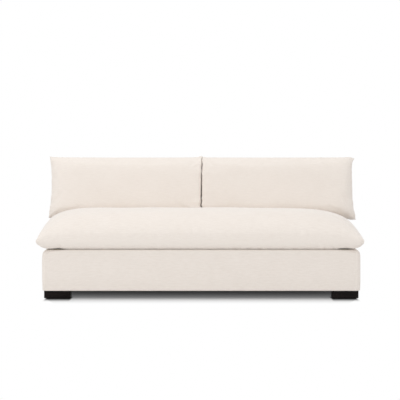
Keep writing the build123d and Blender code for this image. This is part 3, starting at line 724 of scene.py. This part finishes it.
class SofaLook(bpy.types.PropertyGroup):
    """Sizes and colours of the upholstery and the finishes."""

    oat: colour_of("Cloth", "Main upholstery colour", (0.873, 0.816, 0.764))
    # painted shade in the hollows of the weave, and the darker tone of the slubs, flecks and dye clouds
    oat_hollow_shade_and_slub: colour_of("Cloth between threads", "Colour in the hollows of the weave", (0.742, 0.673, 0.611))
    espresso: colour_of("Feet", "Stain of the feet", (0.012, 0.0085, 0.0072))
    thread_pitch: length_of("Thread pitch", "Spacing of the threads in the weave", 1.4 * MM)
    pucker_depth: length_of("Seam gathers", "Depth of the gathers along the cushion seams", 2.2 * MM)


class StageLook(bpy.types.PropertyGroup):
    """Camera and light of the studio."""

    distance: length_of("Camera distance", "From the camera to the front of the base", 9.0)
    height: length_of("Camera height", "Of the lens above the floor", 0.95)
    lens: bpy.props.FloatProperty(
        name="Lens", description="Focal length in millimetres", unit="CAMERA", default=135.0
    )
    sky: bpy.props.FloatProperty(name="Sky", description="Strength of the even light all round", default=0.74)
    front_power: power_of("Front", 37.5)
    top_power: power_of("Top", 35.5)
    left_power: power_of("Left", 30.0)
    right_power: power_of("Right", 8.0)
    floor: share_of("Floor", "Whiteness of the floor", 0.88)
    shadow_reach: length_of("Shadow reach", "How far from the sofa the floor turns plain white", 0.30)
    # painted shadow: the share to which the floor's colour close to the sofa is darkened where the camera sees it
    painted_shadow_depth: share_of("Shadow depth", "Whiteness of the floor close to the sofa, as a share", 0.46)


def look():
    return bpy.context.scene.sofa_look


# ---- operators -----------------------------------------------------------------------------------------------
def upholster(obj, node, cloth, body):
    """Rounds a padded cover, gives it its cloth and lets it stand for the frame's own piece."""
    soften(obj)
    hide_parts(node)
    finish_with(obj, cloth, body)


def stretch_sheet(obj, node, thickness):
    """Gives a stretched cloth its thickness, and lets it stand for the frame's own piece."""
    thicken(obj, thickness)
    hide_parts(node)


def oat_cloth(name="oat_cloth", heather=1.0):
    """The cloth of all upholstered surfaces, made once for each name."""
    cfg = look()
    known = bpy.data.materials.get(name)
    return known or woven(name, cfg.oat, cfg.oat_hollow_shade_and_slub, cfg.thread_pitch, "cloth", heather)


class SOFA_OT_stuff_seat(bpy.types.Operator):
    """Makes the long bench cushion"""

    bl_idname = "sofa.stuff_seat"
    bl_label = "Stuff the seat cushion"

    def execute(self, context):
        pillow = SeatPillow("seat_cushion_cover")
        obj = pillow.build()
        puff(obj, pillow, cap=0.007, slack=0.012)
        pillow.pucker(obj, look().pucker_depth, reach=0.030, waves=(0.026, 0.080), seed=3)
        p = places(obj)
        p[:, 2] = np.maximum(p[:, 2], BASE_HIGH[2] + 0.0005)
        p[:, 1] = np.minimum(p[:, 1], back_face(p[:, 2]) - 0.002)
        place(obj, p)
        upholster(obj, "seat_cushion", oat_cloth(), "seat")
        return {"FINISHED"}


class SOFA_OT_stuff_backs(bpy.types.Operator):
    """Makes the two back cushions"""

    bl_idname = "sofa.stuff_backs"
    bl_label = "Stuff the back cushions"

    def execute(self, context):
        for name, side in (("left", -1), ("right", 1)):
            pillow = BackPillow(f"back_cushion_{name}_cover", side)
            obj = pillow.build()
            puff(obj, pillow, cap=0.004, slack=0.005, stiffness=6.0)
            pillow.pucker(obj, look().pucker_depth, reach=0.035, waves=(0.028, 0.09), seed=40 + side)
            p = pillow.press(places(obj))
            p[:, 1] = np.minimum(p[:, 1], back_face(p[:, 2]) - 0.001)
            place(obj, rest_on(p, bpy.data.objects["seat_cushion_cover"], clearance=0.0015))
            # the back cushions' cloth, seldom sat on, keeps a calmer surface
            upholster(obj, f"back_cushion_{name}", oat_cloth("oat_cloth_backs", 0.60), f"back_{name}")
        return {"FINISHED"}


def base_path(half, front, rear, radius, step):
    """Plan of the base cover from the left rear corner round the front to the right rear: x, y, outward x, y."""
    straight = np.concatenate([[rear, rear - EDGE_ROW], np.arange(rear - step, front + radius, -step)])
    left = [(-half, y, -1.0, 0.0) for y in straight]
    for t in np.linspace(0, math.pi / 2, 9):
        out_x, out_y = math.cos(t), math.sin(t)
        left.append((-half + radius - radius * out_x, front + radius - radius * out_y, -out_x, -out_y))
    count = int(2 * (half - radius) / step)
    across = [(x, front, 0.0, -1.0) for x in np.linspace(-half + radius, half - radius, count)[1:-1]]
    right = [(-x, y, -nx, ny) for x, y, nx, ny in reversed(left)]
    return np.array(left + across + right)


class SOFA_OT_upholster_base(bpy.types.Operator):
    """Pulls the fabric over the base: rounded edges, corner seams and a turned-under hem"""

    bl_idname = "sofa.upholster_base"
    bl_label = "Upholster the base"

    corner_radius, hem_radius = 0.030, 0.008

    def execute(self, context):
        path = base_path(BASE_HIGH[0], BASE_LOW[1], BASE_HIGH[1], self.corner_radius, step=0.016)
        inward, level = self.section(path)
        walk, girth = line_length(path[:, 0], path[:, 1]), line_length(inward[0], level[0])
        uv = np.stack(np.broadcast_arrays(walk[:, None], girth[None]), -1)
        points = self.fill(self.wrap(path, inward, level), path, walk, level)
        obj = net_mesh("base_upholstery", points, uv, turned=True)
        thicken(obj, 0.0025)
        upholster(obj, "base_cover", oat_cloth(), "frame")
        return {"FINISHED"}

    def section(self, path):
        """How far in and how high the cloth runs: from the hem under the rail, up the face, over to the deck seam."""
        bottom, top, hem_r = BASE_LOW[2], BASE_HIGH[2], self.hem_radius
        fold = bottom - 0.002
        # the foam's edge is tight along the front, and has rounded over at both ends
        edge_r = (0.012 + 0.024 * smooth((np.abs(path[:, 0]) - 0.87) / 0.05))[:, None]
        arc = np.linspace(0, math.pi / 2, 8)
        seam_in, seam_down = np.array([0.043, 0.048, 0.050]), np.array([0.0, 0.0008, 0.003])
        hem = [(0.047, bottom), (0.030, bottom), (0.014, bottom), (0.0105, bottom - EDGE_ROW)]
        for t in np.linspace(0, math.pi / 2, 5):
            hem.append((hem_r * (1 - math.sin(t)), fold + hem_r * (1 - math.cos(t))))
        hem = np.repeat(np.array(hem)[None], len(path), axis=0)
        rise = np.linspace(0, 1, 20)[1:-1]
        none = np.zeros_like(edge_r)
        inward = [hem[..., 0], none * rise, edge_r * (1 - np.cos(arc)), none + seam_in]
        face = fold + hem_r + (top - edge_r - fold - hem_r) * rise
        level = [hem[..., 1], face, top - edge_r * (1 - np.sin(arc)), none + (top - seam_down)]
        return np.concatenate(inward, 1), np.concatenate(level, 1)

    def wrap(self, path, inward, level):
        """The section carried along the path; at a rounded corner its points keep to the corner's own centre."""
        plan_x, plan_y, out_x, out_y = path.T[..., None]
        x, y = plan_x - out_x * inward, plan_y - out_y * inward
        corner = (np.abs(out_x) > NOTHING) & (np.abs(out_y) > NOTHING)
        deep = np.maximum(inward - self.corner_radius, 0)
        x = np.where(corner, x + out_x * deep - np.sign(plan_x) * deep, x)
        y = np.where(corner, y + out_y * deep + deep, y)
        return np.stack([x, y, level], -1)

    def fill(self, points, path, walk, level):
        """Fullness of the foam behind the cloth, sunk seams at the front corners and a dip under each seat end."""
        bottom, top = BASE_LOW[2], BASE_HIGH[2]
        face = smooth((level - bottom - 0.01) / 0.06) * smooth((top - 0.02 - level) / 0.07)
        bulge = 0.0015 * face * (1 + 0.8 * clouds(walk[:, None] + 0 * level, level, 0.16, 0.6, 71))
        first_corner = walk[np.argmax(path[:, 3] < -0.999)]
        sink = 0
        for seam_at in (first_corner, walk[-1] - first_corner):
            near = np.abs(walk - seam_at)[:, None]
            sink = sink + 0.0026 * hump(near, 0.0040) - 0.0012 * hump(near - 0.011, 0.005)
        sink = sink * smooth((level - bottom + 0.004) / 0.01)
        points[..., :2] += path[:, None, 2:] * (bulge - sink)[..., None]
        dip = 0.004 * hump(np.abs(path[:, 0]) - 0.868, 0.045) * (np.abs(path[:, 3]) > 0.9)
        points[..., 2] -= dip[:, None] * smooth((level - top + 0.05) / 0.05)
        return points


class SOFA_OT_cover_back(bpy.types.Operator):
    """Covers the inside and the outside of the back"""

    bl_idname = "sofa.cover_back"
    bl_label = "Cover the back"

    def execute(self, context):
        self.inside()
        self.outside()
        return {"FINISHED"}

    def inside(self):
        """Padded inside back: raked face, rolled top and ends, one closed-edge skin from end to end."""
        half, rear, top = BACK_HIGH
        low = BACK_LOW[2] - 0.004
        roll, end_roll = 0.024, 0.014
        arcs = np.linspace(0, math.pi / 2, 7)
        stations = [(half - end_roll + end_roll * math.sin(t), end_roll * (1 - math.cos(t))) for t in arcs[::-1]]
        stations += [(x, 0.0) for x in np.linspace(half - end_roll, 0, 46)[1:]]
        stations += [(-x, i) for x, i in reversed(stations[:-1])]
        rows = []
        for x, inset in stations:
            heights = np.concatenate([[low, low + EDGE_ROW], np.linspace(low, top - roll - inset, 16)[1:]])
            face = [(BACK_LOW[1] + (z - BACK_LOW[2]) * RAKE + inset, z) for z in heights]
            y0, z0 = face[-1][0] + roll, top - roll - inset
            bend = [(y0 - roll * math.cos(t), z0 + roll * math.sin(t)) for t in arcs[1:]]
            over = [(y, top - inset) for y in [*np.linspace(y0, rear, 5)[1:-1], rear - EDGE_ROW, rear]]
            rows.append([(x, y, z) for y, z in face + bend + over])
        grid = np.array(rows)
        # the skin turns from the face back to the rear edge and closes both ends
        ends = []
        for row in (grid[0], grid[-1]):
            for back in (0.5, 0.98, 1.0):
                turned = row.copy()
                turned[:, 1] = row[:, 1] + (rear - row[:, 1]) * back
                ends.append(turned)
        grid = np.concatenate([ends[2::-1], grid, ends[3:]])
        uneven = clouds(grid[..., 0], grid[..., 2], 0.18, 0.7, 91)
        held = smooth((grid[..., 2] - low) / 0.05) * smooth((top - grid[..., 2]) / 0.03)
        grid[..., 1] -= 0.0008 * (1 + uneven) * held * (np.abs(grid[..., 0]) < half - end_roll)
        obj = net_mesh("inside_back_upholstery", grid, laid_out(grid)[..., ::-1])
        thicken(obj, 0.0025)
        upholster(obj, "inside_back_cover", oat_cloth(), "frame")

    def outside(self):
        """Outside back: one stretched panel, its edges folded under, faintly sunk between the uprights."""
        inner, low = REAR_LOW[1:]
        half, rear, top = REAR_HIGH
        x, z = np.meshgrid(edged(-half, half, 92), edged(low, top, 34))
        edge = np.minimum(half - np.abs(x), np.minimum(z - low, top - z))
        roll = 0.0026 * np.sqrt(np.clip(1 - (1 - np.clip(edge / 0.003, 0, 1)) ** 2, 0, 1))
        uprights = np.array([-0.8945, -0.3, 0.3, 0.8945])
        from_upright = np.abs(x[..., None] - uprights).min(-1)
        hollow = smooth((from_upright - 0.02) / 0.10)
        hollow = hollow * smooth((z - low - 0.19) / 0.05) * smooth((top - 0.05 - z) / 0.05)
        stitched = hump(edge - 0.010, 0.0030) * 0.0010
        fade = np.exp(-np.maximum(edge - 0.01, 0) / 0.03)
        pulls = 0.0007 * ripple(x + z * 0.3, 0.05, 0.16, 77) * fade * smooth(edge / 0.008)
        y = np.clip(inner + roll - 0.0011 * hollow - stitched - np.maximum(pulls, 0), inner - 0.002, rear)
        obj = net_mesh("outside_back_panel", np.stack([x, y, z], -1), np.stack([x, z], -1), turned=True)
        stretch_sheet(obj, "outside_back_cover", 0.0012)
        finish_with(obj, oat_cloth(), "frame")


def level_net(low, high, columns, rows):
    """x and y of a level net over a box, and how far in from its edge each point is."""
    x, y = np.meshgrid(np.linspace(low[0], high[0], columns), np.linspace(low[1], high[1], rows))
    return x, y, np.minimum(np.minimum(x - low[0], high[0] - x), np.minimum(y - low[1], high[1] - y))


class SOFA_OT_lay_cloths(bpy.types.Operator):
    """Lays the deck cloth and staples the dust cover underneath"""

    bl_idname = "sofa.lay_cloths"
    bl_label = "Lay the deck cloth and dust cover"

    def execute(self, context):
        x, y, edge = level_net(DECK_LOW, DECK_HIGH, 70, 36)
        z = DECK_HIGH[2] - 0.0016 + 0.0011 * smooth(edge / 0.08) + 0.0003 * clouds(x, y, 0.2, 0.8, 55)
        deck = net_mesh("deck_cover", np.stack([x, y, z], -1), np.stack([x, y], -1))
        stretch_sheet(deck, "deck_cloth", 0.0008)
        cfg = look()
        weave = woven("deck_weave", scaled(cfg.oat, 0.93), scaled(cfg.oat_hollow_shade_and_slub, 0.90), DECK_PITCH, "cloth", 0.3)
        finish_with(deck, weave, "frame")

        x, y, edge = level_net(DUST_LOW, DUST_HIGH, 60, 32)
        sag = 0.0035 * smooth((edge - 0.06) / 0.25) + 0.0006 * smooth(edge / 0.05) * clouds(x, y, 0.15, 0.5, 66)
        z = DUST_HIGH[2] - 0.0002 - np.maximum(sag, 0)
        dust = net_mesh("dust_cover_cloth", np.stack([x, y, z], -1), turned=True)
        stretch_sheet(dust, "dust_cover", 0.0004)
        finish_with(dust, black_felt("dust_felt", (0.012, 0.012, 0.013)), "frame")
        return {"FINISHED"}


class SOFA_OT_finish_frame(bpy.types.Operator):
    """Gives every frame piece its timber, steel, foam or plastic"""

    bl_idname = "sofa.finish_frame"
    bl_label = "Finish the frame"

    def execute(self, context):
        cfg = look()
        finishes = {
            "dark_wood": timber("espresso_stain", cfg.espresso, scaled(cfg.espresso, 0.4), 0.5, gloss=0.10),
            "frame_wood": timber("sawn_hardwood", (0.62, 0.47, 0.31), (0.43, 0.30, 0.18), 0.75),
            "glide_plastic": moulded("glide_nylon", (0.018, 0.018, 0.019)),
            "zinc_steel": steel("zinc_plate", (0.60, 0.61, 0.60), 0.42),
            "spring_steel": steel("oiled_wire", (0.16, 0.16, 0.17), 0.40, (1.0, 8.0, 8.0)),
            "foam": flecked_foam("seat_foam", (0.80, 0.74, 0.56)),
            "black_cloth": black_felt("insulator_felt", (0.02, 0.02, 0.021)),
            "webbing": ribbed_webbing("back_webbing", (0.045, 0.045, 0.05)),
            "oat_fabric": woven("oat_cloth_plain", cfg.oat, cfg.oat_hollow_shade_and_slub, cfg.thread_pitch),
            "deck_cloth": woven("deck_weave_plain", cfg.oat, cfg.oat_hollow_shade_and_slub, DECK_PITCH),
        }
        slots = {s["node"]: s["material_slot"] for s in frame["record"]["subparts"]}
        for node, obj in frame["nodes"].items():
            finish = finishes.get(slots.get(node))
            if finish is None:
                raise RuntimeError(f"no finish for {node}")
            if not obj.material_slots:
                obj.data.materials.append(finish)
            for material_slot in obj.material_slots:
                material_slot.material = finish
        return {"FINISHED"}


class SOFA_OT_set_stage(bpy.types.Operator):
    """Sets the floor, the light and the camera"""

    bl_idname = "sofa.set_stage"
    bl_label = "Set the stage"

    def execute(self, context):
        cfg = context.scene.sofa_stage
        side = 30
        corners = [(-side, -side, 0), (side, -side, 0), (side, side, 0), (-side, side, 0)]
        floor = new_mesh("studio_floor", corners, [(0, 1, 2, 3)])
        floor.data.materials.append(self.white_floor(cfg))
        context.scene.world = self.sky(cfg)
        self.lamp("front_softbox", (0.0, -6.0, 1.3), 3.0, cfg.front_power)
        self.lamp("top_softbox", (0.0, -0.3, 3.6), 4.0, cfg.top_power)
        self.lamp("left_softbox", (-3.6, -1.5, 2.6), 3.0, cfg.left_power)
        self.lamp("right_softbox", (3.6, -1.5, 2.0), 3.0, cfg.right_power)
        context.scene.camera = self.camera(cfg)
        context.scene.view_settings.view_transform = "Standard"
        return {"FINISHED"}

    def camera(self, cfg):
        """Level view from the front, pitched down a little, framed by a shift as in the photograph."""
        film, picture = 36.0, 400
        pitch = math.radians(1.0)
        # in picture elements: how far right of the middle the sofa's middle stands, and how far up the horizon has to
        # go beside what the pitch gives
        right, up = 1.3, 59.4 - cfg.lens / film * picture * math.tan(pitch)
        camera = bpy.data.cameras.new("studio_camera")
        camera.lens, camera.sensor_width = cfg.lens, film
        camera.shift_x, camera.shift_y = -right / picture, -up / picture
        camera.clip_start, camera.clip_end = 0.1, 200.0
        eye = bpy.data.objects.new("studio_camera", camera)
        bpy.context.scene.collection.objects.link(eye)
        eye.location = (0.0, BASE_LOW[1] - cfg.distance, cfg.height)
        eye.rotation_euler = (math.pi / 2 - pitch, 0.0, 0.0)
        return eye

    def seen(self, s):
        """1 where the camera, or gloss or glass on its behalf, looks; 0 for light that falls on the object."""
        rays = s.node("ShaderNodeLightPath", out=("Is Camera Ray", "Is Glossy Ray", "Is Transmission Ray"))
        return rays[0].at_least(rays[1]).at_least(rays[2])

    def white_floor(self, cfg):
        """White floor that keeps the shadow under and round the sofa and fades to plain white further out; as the
        camera sees it, its colour is darkened close to the sofa and at the front feet as painted shadow, and a white
        glow under the front edge is painted light.
        """
        s = Shade("studio_white", Roughness=1.0, Specular_IOR_Level=0.0)
        x, y, _ = s.split(s.coords())
        # painted shadow: the floor's colour is darkened nearly to black at each front foot, as wide as the foot,
        # fading out before and behind its front face
        inner, outer = FOOT_LOW[0], FOOT_HIGH[0]
        across = x.size().share(inner - 0.012, inner) * x.size().share(outer - 0.002, outer - 0.016)
        painted_foot_shadow = across * y.share(-0.67, -0.51) * y.share(-0.36, -0.42)
        # painted shadow: seen by the camera, the floor's colour close to the sofa is darkened to a share of its
        # whiteness, while light bouncing off it still meets the full whiteness
        near = s.blend(painted_foot_shadow, (cfg.floor * cfg.painted_shadow_depth,) * 3, (0.02,) * 3)
        s.feed("Base Color", s.blend(self.seen(s), (cfg.floor,) * 3, near))
        depth = y.size() - REAR_HIGH[1]
        out_y = depth.at_least(0.0)
        # the shadow draws in toward the middle as it runs out from the front
        out_x = (x.size() + out_y * 0.28 - (BASE_HIGH[0] - 0.034)).at_least(0.0) * 18.0
        away = (out_x * out_x + out_y * out_y) ** 0.5
        rest = (1.0 - away.share(0.0, cfg.shadow_reach)) ** 1.7
        # painted light: a white glow mixed into the floor under the front edge, standing for light that creeps in
        # there
        painted_creep_glow = depth.share(-0.42, -0.04) ** 1.5 * 0.17 + 0.03
        plain = (1.0 - rest * (1.0 - painted_creep_glow)) * (1.0 - painted_foot_shadow)
        white = s.node("ShaderNodeEmission", None, {"Color": (1, 1, 1, 1), "Strength": 1.0})
        surface = Sock(s, s.surface.outputs[0])
        mixed = s.node("ShaderNodeMixShader", None, {0: plain * self.seen(s), 1: surface, 2: white})
        s.tree.links.new(mixed.socket, s.tree.nodes["Material Output"].inputs["Surface"])
        return s.material

    def sky(self, cfg):
        world = bpy.data.worlds.new("studio_sky")
        world.use_nodes = True
        s = Nodes(world.node_tree)
        strength = self.seen(s) * (1.0 - cfg.sky) + cfg.sky
        background = s.tree.nodes["Background"]
        background.inputs["Color"].default_value = (1, 1, 1, 1)
        s.tree.links.new(strength.socket, background.inputs["Strength"])
        return world

    def lamp(self, name, at, size, power):
        """A square softbox turned toward the middle of the sofa."""
        toward = (0.0, 0.0, 0.4)
        light = bpy.data.lights.new(name, "AREA")
        light.shape, light.size, light.energy = "SQUARE", size, power
        obj = bpy.data.objects.new(name, light)
        bpy.context.scene.collection.objects.link(obj)
        obj.location = at
        obj.rotation_euler = (Vector(toward) - Vector(at)).to_track_quat("-Z", "Y").to_euler()


class SOFA_PT_panel(bpy.types.Panel):
    """The sofa's builders and settings"""

    bl_idname = "SOFA_PT_panel"
    bl_label = "Armless sofa"
    bl_space_type = "VIEW_3D"
    bl_region_type = "UI"
    bl_category = "Sofa"

    def draw(self, context):
        for cls in OPERATORS:
            self.layout.operator(cls.bl_idname)
        for group in (context.scene.sofa_look, context.scene.sofa_stage):
            for key in group.__annotations__:
                self.layout.prop(group, key)


OPERATORS = (
    SOFA_OT_finish_frame,
    SOFA_OT_upholster_base,
    SOFA_OT_cover_back,
    SOFA_OT_lay_cloths,
    SOFA_OT_stuff_seat,
    SOFA_OT_stuff_backs,
    SOFA_OT_set_stage,
)
CLASSES = (SofaLook, StageLook, *OPERATORS, SOFA_PT_panel)


def register():
    for cls in CLASSES:
        bpy.utils.register_class(cls)
    bpy.types.Scene.sofa_look = bpy.props.PointerProperty(type=SofaLook)
    bpy.types.Scene.sofa_stage = bpy.props.PointerProperty(type=StageLook)


def unregister():
    del bpy.types.Scene.sofa_stage
    del bpy.types.Scene.sofa_look
    for cls in reversed(CLASSES):
        bpy.utils.unregister_class(cls)


def main():
    register()
    for cls in OPERATORS:
        group, action = cls.bl_idname.split(".")
        getattr(getattr(bpy.ops, group), action)()


if __name__ == "__main__":
    main()
